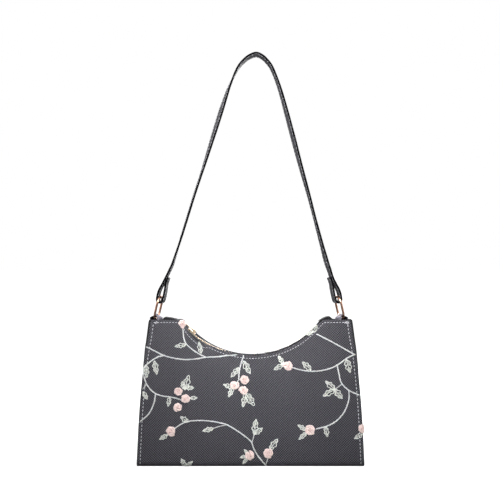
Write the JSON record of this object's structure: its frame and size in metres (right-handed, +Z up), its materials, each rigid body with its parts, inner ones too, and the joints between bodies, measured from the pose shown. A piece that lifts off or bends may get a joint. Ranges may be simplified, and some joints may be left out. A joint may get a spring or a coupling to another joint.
{
  "type": "shoulder bag",
  "caption": "Zip-top shoulder bag with a scooped mouth, pleated side gussets and a flat strap that hangs from two metal rings.",
  "frame": {"origin": "middle of the base, on the floor", "axes": "+X to the right seen from the front, +Y towards the back, +Z up; the front panel faces -Y"},
  "size_m": [0.25, 0.0596, 0.459],
  "materials": {
    "wrap_fabric": "matte twill",
    "gusset_leather": "matte",
    "board": "matte",
    "lining_cloth": "satin",
    "zip_tape": "matte",
    "zip_metal": "polished",
    "tab_leather": "satin",
    "ring_metal": "polished",
    "strap_leather": "satin"
  },
  "bodies": {
    "bag": {"shell": "wrap_fabric", "gusset_left": "gusset_leather", "gusset_right": "gusset_leather", "stiffener_front": "board", "stiffener_back": "board", "base_board": "board", "lining": "lining_cloth", "facing_front": "gusset_leather", "facing_back": "gusset_leather", "zip_tape_front": "zip_tape", "zip_tape_back": "zip_tape", "teeth_front": "zip_metal", "teeth_back": "zip_metal", "zip_stop_left": "zip_metal", "zip_stop_right": "zip_metal", "zip_end_left": "gusset_leather", "zip_end_right": "gusset_leather", "tab_left": "tab_leather", "tab_right": "tab_leather", "rivet_left": "ring_metal", "rivet_right": "ring_metal"},
    "zip_slider": {"slider": "zip_metal"},
    "pull_tab": {"puller": "zip_metal"},
    "left_ring": {"ring_left": "ring_metal"},
    "right_ring": {"ring_right": "ring_metal"},
    "shoulder_strap": {"strap": "strap_leather"}
  },
  "joints": [
    {"name": "zip_travel", "type": "hinge", "parent": "bag", "child": "zip_slider", "pos_m": [0, 0, 0.2195], "axis": [0, -1, 0], "range_deg": [0, 86], "deforming": ["teeth_front", "teeth_back"]},
    {"name": "pull_flip", "type": "hinge", "parent": "zip_slider", "child": "pull_tab", "pos_m": [-0.06236, 0, 0.14671], "axis": [0, 1, 0], "range_deg": [-1, 172]},
    {"name": "strap_swing", "type": "hinge", "parent": "bag", "child": "shoulder_strap", "pos_m": [0, 0, 0.169], "axis": [1, 0, 0], "range_deg": [-50, 50]},
    {"name": "left_ring_turn", "type": "hinge", "parent": "bag", "child": "left_ring", "pos_m": [-0.104, 0, 0.169], "axis": [1, 0, 0], "range_deg": [-50, 50]},
    {"name": "right_ring_turn", "type": "hinge", "parent": "bag", "child": "right_ring", "pos_m": [0.1005, 0, 0.169], "axis": [1, 0, 0], "range_deg": [-50, 50]}
  ],
  "couplings": [
    {"joint": "left_ring_turn", "follows": "strap_swing", "ratio": 1},
    {"joint": "right_ring_turn", "follows": "strap_swing", "ratio": 1}
  ]
}
